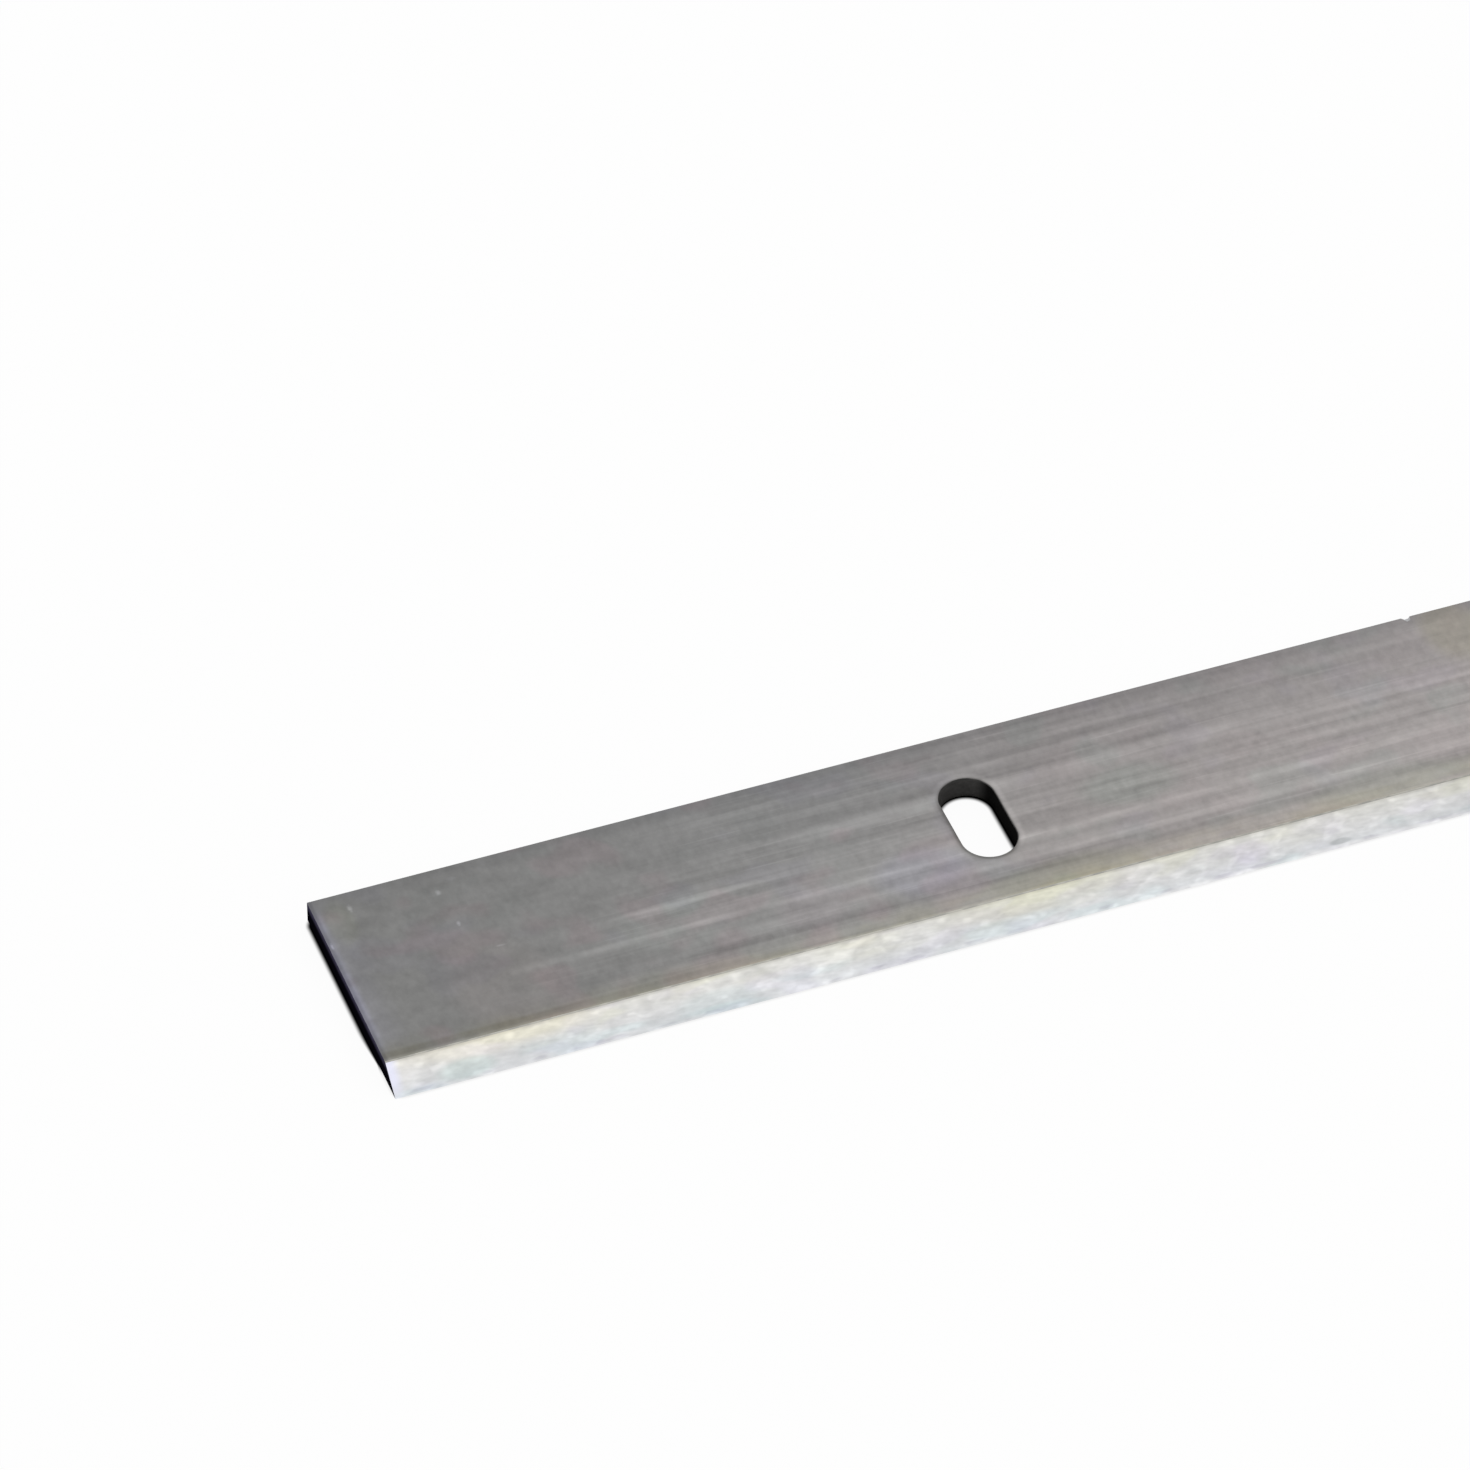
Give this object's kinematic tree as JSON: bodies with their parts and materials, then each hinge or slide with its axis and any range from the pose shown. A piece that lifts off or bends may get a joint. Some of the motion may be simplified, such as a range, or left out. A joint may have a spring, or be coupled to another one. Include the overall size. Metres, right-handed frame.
{
  "type": "planer knife",
  "caption": "Flat ground steel planer knife: a long narrow strip with a bevelled cutting edge along its front and slots across it for setting and clamping.",
  "frame": {"origin": "middle of the seat face, half way along the knife and half way across its width", "axes": "+X along the knife, +Y from the cutting edge towards the back edge, +Z from the seat face towards the bevelled face"},
  "size_m": [0.27, 0.0164, 0.0015],
  "materials": {
    "ground_steel": "surface ground along its length, with a paler ground bevel"
  },
  "bodies": {
    "root": {"knife": "ground_steel"}
  },
  "joints": []
}
